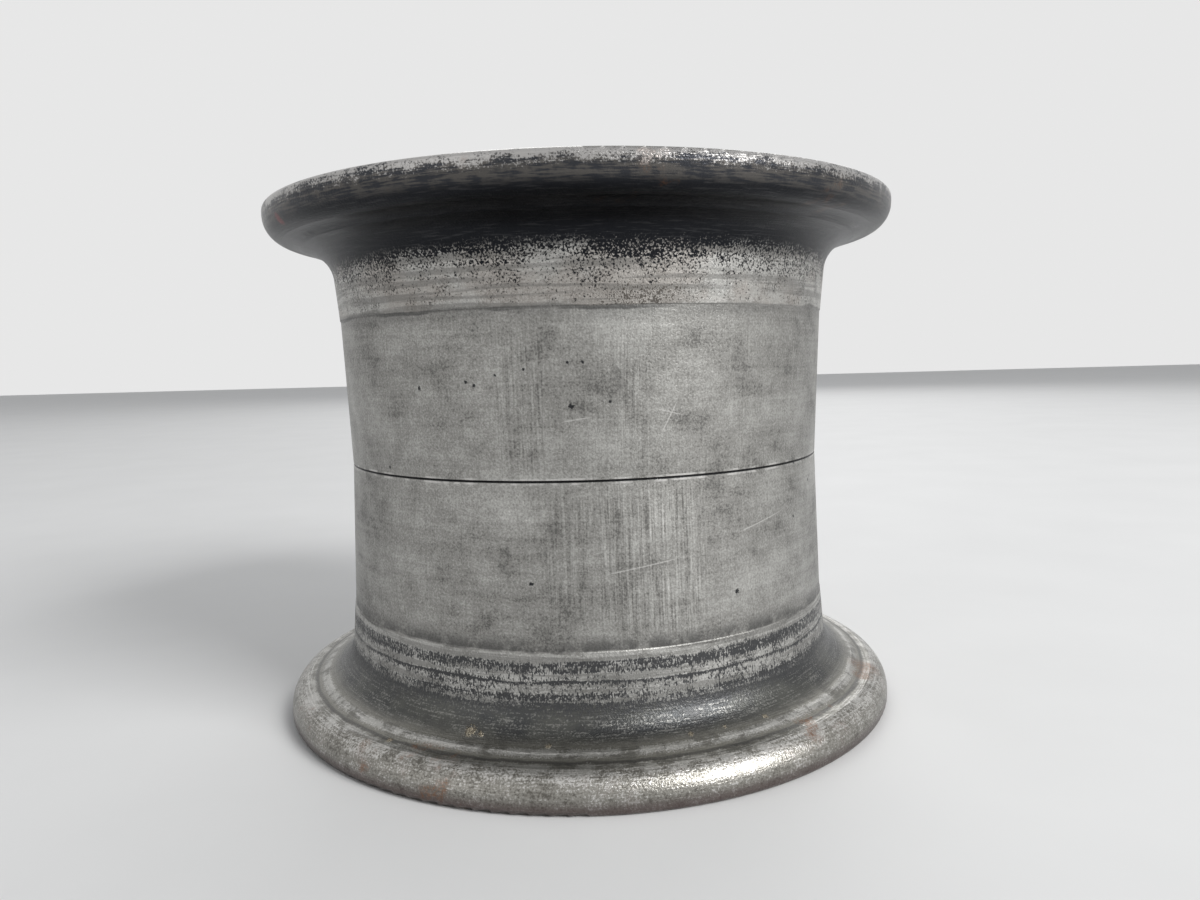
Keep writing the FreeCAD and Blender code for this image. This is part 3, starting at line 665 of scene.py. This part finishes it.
# %% [markdown]
# ## Plated fasteners
#
# Bolts, nuts and washers were plated, and the plating has gone from yellow to a tired straw grey. It wears first
# at the corners of the hexagons, where the wrench bears. A corner is simply a place that is far from the bolt's
# own line, so the distance to the nearest of the three lines finds all of them.

# %% Plated steel
def plated_steel():
    """Straw grey plating, bare at the corners of the nuts and brown with dirt in the clouds."""
    f = Finish("plated_steel")
    nearest = None
    for azimuth in bolt_azimuths:
        away = f.distance_from(bolt_circle_radius * math.cos(azimuth), bolt_circle_radius * math.sin(azimuth))
        nearest = away if nearest is None else nearest.smaller(away)
    grain = f.noise(0.5, 0.5, detail=3.0, roughness=0.7, seed=1.0)
    clouds = f.noise(3.0, 3.0, detail=3.0, roughness=0.6, seed=12.0)
    above_washers = f.height.above(13.7, 14.0)
    worn = (nearest + grain * 0.9).above(6.75, 7.25) * above_washers
    colour = f.mix(clouds.above(0.36, 0.62), rgb(0.250, 0.225, 0.150), rgb(0.340, 0.320, 0.260))
    colour = f.mix(worn * 0.85, colour, rgb(0.50, 0.50, 0.48))
    colour = f.mix(clouds.below(0.30, 0.42) * 0.7, colour, rgb(0.060, 0.050, 0.038))
    return f.apply(colour, 0.85 - clouds.below(0.30, 0.42) * 0.4, 0.34 + grain * 0.16, grain,
                   relief_depth=0.00006)


# %% [markdown]
# ## Each solid gets its finish
#
# The name of a solid says which half it belongs to and what kind of piece it is. Only the kind decides the finish,
# so one short table dresses every solid. The solids themselves are left as they are: only their material changes.

# %% Dress the solids
kinds_by_finish = [
    (alloy, ["wheel_half"]),
    (bearing_steel(), ["bearing_cup", "bearing_cone", "bearing_rollers"]),
    (cage_steel(), ["bearing_cage"]),
    (seal_steel(), ["inner_seal_ring", "outer_seal_ring"]),
    (felt(), ["felt_seal"]),
    (spring_steel(), ["snap_ring"]),
    (plated_steel(), ["tie_bolt", "bolt_head_washer", "nut_washer", "tie_bolt_nut"]),
]
finish_of = {kind: finish for finish, kinds in kinds_by_finish for kind in kinds}

for name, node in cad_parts.items():
    kind = name.removeprefix("outboard_").removeprefix("inboard_").rstrip("_0123456789")
    for material_slot in node.material_slots:
        material_slot.material = finish_of[kind]
print("dressed", len(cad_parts), "solids in", len(kinds_by_finish), "finishes")


# %% [markdown]
# ## Tie bolts with a real thread
#
# The solid bolts are smooth, as a thread's hundreds of faces would only slow down a simulation. Up close the
# thread is what says bolt, so each bolt is made again as one closed surface. A screw thread is a radius that
# rises and falls with height, shifted by one pitch for each turn round. That is a single formula over a grid of
# heights and angles, so no helix has to be swept and nothing has to be cut.

# %% A closed surface from rings of points
def ring_surface(name, rings, start, end):
    """Mesh from an array of rings (ring, place round it, xyz), closed at each end by one point and a fan."""
    count, around = rings.shape[:2]
    points = np.concatenate([rings.reshape(-1, 3), [start, end]])
    here = np.arange(around)
    there = (here + 1) % around
    rows = np.arange(count - 1)[:, None] * around
    walls = np.stack([rows + here, rows + there, rows + around + there, rows + around + here], axis=-1)
    first_fan = np.stack([there, here, np.full(around, count * around)], axis=-1)
    last_row = (count - 1) * around
    last_fan = np.stack([last_row + here, last_row + there, np.full(around, count * around + 1)], axis=-1)
    mesh = bpy.data.meshes.new(name)
    mesh.from_pydata(points.tolist(), [], walls.reshape(-1, 4).tolist() + first_fan.tolist() + last_fan.tolist())
    piece = bpy.data.objects.new(name, mesh)
    bpy.context.scene.collection.objects.link(piece)
    return piece


# %% [markdown]
# ## The bolt's shape as rings
#
# From the head's face upwards a bolt is a chamfered hexagon, a round shank, a screw thread and a bevelled tip. All
# of them are a radius that depends on the height and the angle, so they share one grid of rings. The grid is fine
# enough for fourteen rings to each turn of the thread.

# %% The bolts
bolt_radius = 3.96
thread_pitch = 1.058
thread_depth = 0.62
thread_start_height = 12.0
rings_per_turn = 14.0
head_half_width = 6.35
head_height = 5.2


def bolt_rings(head_top, end, angles):
    """Heights and radii of the rings of one bolt, in millimetres, from its head's face to its end.

    In the head the radius is the hexagon's, half its width over the cosine of the angle from the nearest flat, or
    the chamfer's cone where that is less. Above, the thread's depth is taken off the bolt's radius by a triangle
    wave of (height / pitch - angle / one turn), and the bevel of the tip caps it.
    """
    seat = head_top + head_height
    head = np.linspace(head_top, seat, 9)[:, None]
    hexagon = head_half_width / np.cos(angles % (math.pi / 3) - math.pi / 6)
    head_radius = np.minimum(hexagon, head_half_width * 0.95 + (head - head_top) * 1.9)

    thread = np.arange(seat + 0.01, end, thread_pitch / rings_per_turn)[:, None]
    wave = np.abs((thread / thread_pitch - angles / (2 * math.pi)) % 1.0 - 0.5) * 2.0
    screw = bolt_radius - thread_depth * (1.0 - np.minimum(wave * 1.35, 1.0)) * (thread > thread_start_height)
    screw = np.minimum(screw, bolt_radius - 0.75 + (end - thread) * 0.9)

    flat = np.ones((1, len(angles)))
    heights = np.concatenate([[[head_top]], head, [[seat]], thread, [[end]], [[end]]])
    radii = np.concatenate([flat * 3.0, head_radius, flat * bolt_radius, screw, flat * 3.2, flat * 1.5])
    return heights, radii


for number, azimuth in enumerate(bolt_azimuths, start=1):
    low, high = (corner.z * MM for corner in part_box(f"tie_bolt_{number}"))
    angles = np.linspace(0.0, 2 * math.pi, 96, endpoint=False)
    heights, radii = bolt_rings(low, high, angles)
    centre = np.array([bolt_circle_radius * math.cos(azimuth), bolt_circle_radius * math.sin(azimuth)])
    rings = np.stack([centre[0] + radii * np.cos(angles + azimuth), centre[1] + radii * np.sin(angles + azimuth),
                      heights + 0.0 * radii], axis=-1)
    bolt = ring_surface(f"threaded_tie_bolt_{number}", rings / MM,
                        [centre[0] / MM, centre[1] / MM, low / MM], [centre[0] / MM, centre[1] / MM, high / MM])
    bolt.data.materials.append(finish_of["tie_bolt"])
    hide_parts(f"tie_bolt_{number}")
    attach(bolt, "wheel")
    print(bolt.name, len(bolt.data.polygons), "faces")


# %% [markdown]
# ## Floor, light and camera
#
# The wheel stands on its end on a pale floor, seen from close by and a little above its middle, which is why its
# upper flange is seen from below and its lower flange from above. A short lens so near gives that strong
# perspective. The lamps are large and far off, so that the rough metal shows soft, wide highlights.

# %% Floor
def floor():
    """A wide plain sheet at the height of the wheel's lowest point, with a faint mottle."""
    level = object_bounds()[0].z
    mesh = bpy.data.meshes.new("floor")
    corners = np.array([[-4.0, -4.0, level], [4.0, -4.0, level], [4.0, 4.0, level], [-4.0, 4.0, level]])
    mesh.from_pydata(corners.tolist(), [], [(0, 1, 2, 3)])
    sheet = bpy.data.objects.new("floor", mesh)
    bpy.context.scene.collection.objects.link(sheet)
    f = Finish("pale_floor")
    mottle = f.noise(60.0, 60.0, detail=3.0, roughness=0.5)
    mesh.materials.append(f.apply(f.mix(mottle, rgb(0.74, 0.74, 0.735), rgb(0.80, 0.80, 0.795)), 0.0, 0.6))
    sheet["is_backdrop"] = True
    return sheet


floor()


# %% [markdown]
# ## Light
#
# A key lamp from the right, a weak fill from the left and one lamp behind. Rough metal shows what surrounds it, so
# the pale world matters more than the lamps. The world is darker as light than as a background: rays that the
# camera, a gloss or a glass sends out see it nearly white, and all the others see a plain soft grey.

# %% Light
def lamp(name, place, power, size, aim=(0.0, 0.0, 0.0)):
    """A square lamp at a place in metres, turned to face its aim."""
    light = bpy.data.lights.new(name, "AREA")
    light.energy = power
    light.size = size
    holder = bpy.data.objects.new(name, light)
    holder.location = place
    holder.rotation_euler = (Vector(aim) - Vector(place)).to_track_quat("-Z", "Y").to_euler()
    bpy.context.scene.collection.objects.link(holder)


lamp("key", (1.5, -1.2, 1.3), 46.0, 1.0)
lamp("fill", (-1.6, -1.4, 0.9), 3.5, 1.4)
lamp("back", (0.3, 1.8, 1.2), 12.0, 1.4)


def pale_world():
    """An even pale grey all round, and nearly white where the camera, a gloss or a glass sees it directly."""
    world = bpy.data.worlds.new("pale")
    bpy.context.scene.world = world
    world.use_nodes = True
    tree = world.node_tree
    path = tree.nodes.new("ShaderNodeLightPath")
    seen = path.outputs["Is Camera Ray"]
    for ray in ("Is Glossy Ray", "Is Transmission Ray"):
        either = tree.nodes.new("ShaderNodeMath")
        either.operation = "MAXIMUM"
        tree.links.new(seen, either.inputs[0])
        tree.links.new(path.outputs[ray], either.inputs[1])
        seen = either.outputs[0]
    ambient = tree.nodes["Background"]
    ambient.inputs["Color"].default_value = rgb(0.9, 0.92, 0.95)
    ambient.inputs["Strength"].default_value = 0.36
    backdrop = tree.nodes.new("ShaderNodeBackground")
    backdrop.inputs["Color"].default_value = rgb(0.80, 0.80, 0.80)
    backdrop.inputs["Strength"].default_value = 1.0
    mixed = tree.nodes.new("ShaderNodeMixShader")
    tree.links.new(seen, mixed.inputs[0])
    tree.links.new(ambient.outputs[0], mixed.inputs[1])
    tree.links.new(backdrop.outputs[0], mixed.inputs[2])
    tree.links.new(mixed.outputs[0], tree.nodes["World Output"].inputs["Surface"])


pale_world()
bpy.context.scene.view_settings.view_transform = "Standard"


# %% [markdown]
# ## Camera
#
# The camera stands 0.29 metres in front of the axle line and tips down by six degrees. Its matrix is built from
# the direction it looks in, so yaw, pitch and roll each keep their plain meaning.

# %% Camera
def camera(place, pitch, yaw, roll, focal_length):
    """A camera that looks along +Y, turned left by yaw, tipped down by pitch and rolled about its own axis."""
    pitch, yaw, roll = math.radians(pitch), math.radians(yaw), math.radians(roll)
    forward = Vector((math.sin(yaw) * math.cos(pitch), math.cos(yaw) * math.cos(pitch), -math.sin(pitch)))
    right = forward.cross(Vector((0.0, 0.0, 1.0))).normalized()
    up = right.cross(forward)
    rolled_right = math.cos(roll) * right + math.sin(roll) * up
    rolled_up = math.cos(roll) * up - math.sin(roll) * right
    lens = bpy.data.cameras.new("camera")
    lens.lens = focal_length
    lens.sensor_width = 36.0
    lens.clip_start = 0.01
    holder = bpy.data.objects.new("camera", lens)
    turned = Matrix((rolled_right, rolled_up, -forward)).transposed().to_4x4()
    holder.matrix_world = Matrix.Translation(place) @ turned
    bpy.context.scene.collection.objects.link(holder)
    bpy.context.scene.camera = holder


camera((0.0, -0.28853, 0.03015), pitch=5.959, yaw=0.989, roll=-1.478, focal_length=26.41)
